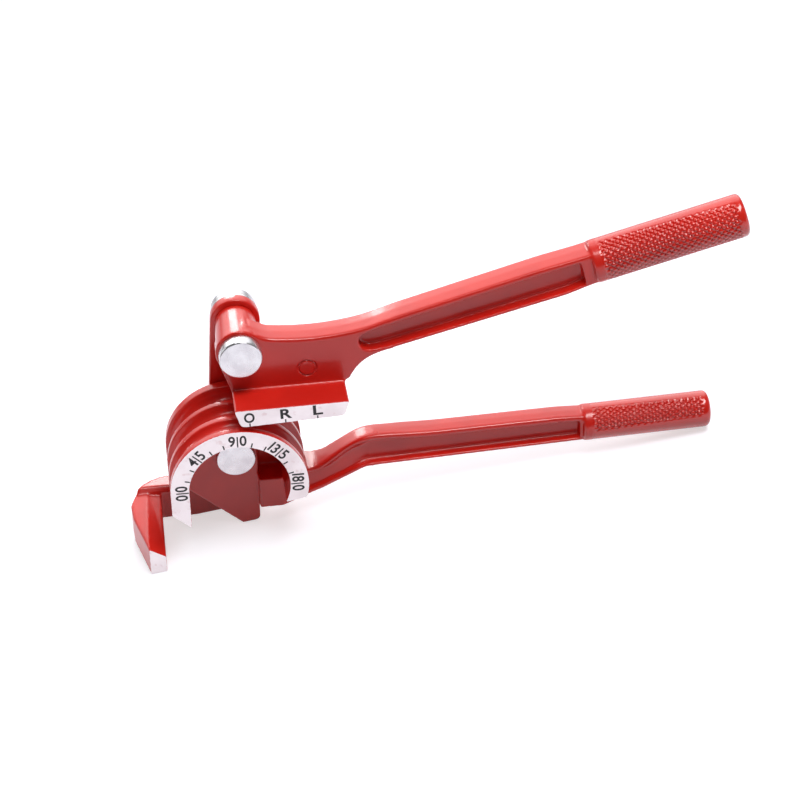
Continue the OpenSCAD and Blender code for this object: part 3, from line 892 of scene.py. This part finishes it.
# %% Black filling
ink = Finish("mark_black")
worn = ink.ramp(ink.noise(700.0, 3.0), 0.5, 0.8)
ink.set(
    Base_Color=ink.mix(worn, (0.012, 0.012, 0.014, 1), (0.05, 0.048, 0.05, 1)),
    Roughness=0.5 + 0.2 * worn,
)
print("black filling has", len(ink.tree.nodes), "nodes")

# %% [markdown]
# Now every piece gets its finish, the body that it moves with and the CAD nodes that it stands for.
# The black marks are part of the bare faces.

# %% Dress and ride


def dress(piece, finish, slot, body, *nodes):
    piece.data.materials.clear()
    piece.data.materials.append(finish.material)
    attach(piece, body)
    if nodes:
        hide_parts(*nodes)
    print(piece.name, "rides", body, "and stands for", nodes or "no solid")


dress(lower_casting, enamel, "red_enamel", "die_and_handle", "die_rim", "die_hub", "hook_bar", "hook_finger",
      "lower_neck", "lower_beam")
dress(lower_grip, grip_enamel, "red_enamel", "die_and_handle", "lower_grip")
dress(dial_skin, alloy, "bare_metal", "die_and_handle", "dial_face")
dress(hook_skin, alloy, "bare_metal", "die_and_handle", "hook_tip")
dress(dial_marks, ink, "bare_metal", "die_and_handle")
dress(lever_casting, enamel, "red_enamel", "lever", "forming_shoe", "lever_web", "lever_beam")
dress(upper_grip, grip_enamel, "red_enamel", "lever", "lever_grip")
dress(index_skin, alloy, "bare_metal", "lever", "index_strip")
dress(index_marks, ink, "bare_metal", "lever")
dress(link, enamel, "red_enamel", "link", "link_bar")
for node, piece in steel_parts.items():
    finish, body = (die_steel, "die_and_handle") if node.startswith("die") else (lever_steel, "link")
    dress(piece, finish, "pin_steel", body, node)
for smooth in (lower_grip, upper_grip, lower_casting, lever_casting):
    select_only(smooth)
    bpy.ops.object.shade_smooth_by_angle(angle=math.radians(50))

# %% [markdown]
# In the photograph the tool stands on white. The floor is white to the camera and still takes the tool's
# shadow: a part of its white is light of its own, the rest is lit.
# In reflections its own light is a little weaker and pink, a painted tint for the sheen on the tool. The
# kind of ray that meets the paper decides which part counts.

# %% Floor
FLOOR_SIZE = 6
FLOOR_DROP = 0.0002
PAPER_GLOW, REFLECTED_SHARE = 0.6, 0.9
bpy.ops.object.select_all(action="DESELECT")
bpy.ops.mesh.primitive_plane_add(size=FLOOR_SIZE, location=(0, 0, -FLOOR_DROP))
floor = bpy.context.object
floor.name = "white_floor"
paper = Finish("white_paper")
paper.set(Base_Color=(0.57, 0.595, 0.655, 1), Roughness=0.9)
glossy = paper.node("ShaderNodeLightPath", output="Is Glossy Ray")
seen = (paper.node("ShaderNodeLightPath", output="Is Camera Ray") + REFLECTED_SHARE * glossy
        + REFLECTED_SHARE * paper.node("ShaderNodeLightPath", output="Is Transmission Ray"))
# For glossy rays the glow turns a little pink: a painted tint of the reflections on the enamel and the bare
# faces.
white = paper.mix(glossy, (1, 1, 1, 1), (1, 0.9, 0.91, 1))
glow = paper.node("ShaderNodeEmission", None, {"Color": white, "Strength": seen * PAPER_GLOW}, "Emission")
both = paper.node("ShaderNodeAddShader", None, {0: Value(paper.shader.outputs[0]), 1: glow})
paper.tree.links.new(both.socket, paper.tree.nodes["Material Output"].inputs["Surface"])
floor.data.materials.append(paper.material)
print("white paper has", len(paper.tree.nodes), "nodes")

# %% [markdown]
# A long lamp hangs above. A short one beside it draws the bright line along the upper handle and
# its grip, and two small ones pick out the hook. Area lamps give the soft edges of a studio box.

# %% Lamps


def soft_lamp(name, place, aim, size, power, wide=1):
    bpy.ops.object.select_all(action="DESELECT")
    bpy.ops.object.light_add(type="AREA", location=place)
    lamp = bpy.context.object
    lamp.name = name
    lamp.data.shape = "RECTANGLE"
    lamp.data.size, lamp.data.size_y = size * wide, size
    lamp.data.energy = power
    lamp.rotation_euler = (Vector(aim) - Vector(place)).to_track_quat("-Z", "Y").to_euler()
    print(name, power, "W")


soft_lamp("top_lamp", (0.4, -0.25, 0.92), (0.1, 0, 0.05), 0.3, 6.4, 2)
soft_lamp("rim_lamp", (0.02, -0.25, 0.92), (0.2, 0, 0.1), 0.14, 0.7, 2)
soft_lamp("left_lamp", (-0.5, 0.15, 0.28), (-0.04, 0, 0.03), 0.16, 0.5)
soft_lamp("hook_lamp", (0.005, 0.22, 0.175), (-0.04, 0, 0.03), 0.08, 0.19)

# %% [markdown]
# The rest of the light comes from the room. A bright wall behind the tool gives the even sheen
# along the tops. The side where the camera stands and a skirting along the floor are dark, which
# draws the dark lines into polished steel. So the world's brightness follows from the direction:
# towards the wall, towards the camera and up from the floor.

# %% Room
world = bpy.context.scene.world or bpy.data.worlds.new("room")
bpy.context.scene.world = world
world.use_nodes = True
room = world.node_tree


def towards(direction, low, high, before, after):
    """A brightness that goes from before to after as the view turns towards a direction."""
    way = room.nodes.new("ShaderNodeTexCoord")
    facing = room.nodes.new("ShaderNodeVectorMath")
    facing.operation = "DOT_PRODUCT"
    facing.inputs[1].default_value = Vector(direction).normalized()
    room.links.new(way.outputs["Generated"], facing.inputs[0])
    fade = room.nodes.new("ShaderNodeMapRange")
    fade.interpolation_type = "SMOOTHSTEP"
    for entry, number in (("From Min", low), ("From Max", high), ("To Min", before), ("To Max", after)):
        fade.inputs[entry].default_value = number
    room.links.new(facing.outputs["Value"], fade.inputs["Value"])
    return Value(fade.outputs["Result"])


wall = towards((0, 0.86, 0.5), 0.66, 0.93, 0.18, 1.85)
clear = towards((0, -0.92, 0.4), 0.3, 0.85, 1.0, 0.2)
skirting = towards((0, 0, 1), 0.0, 0.16, 0.12, 1.0)
plug(room, room.nodes["Background"].inputs["Color"], wall * clear * skirting)
room.nodes["Background"].inputs["Strength"].default_value = 1.0
bpy.context.scene.view_settings.view_transform = "Standard"
print("room has", len(room.nodes), "nodes")
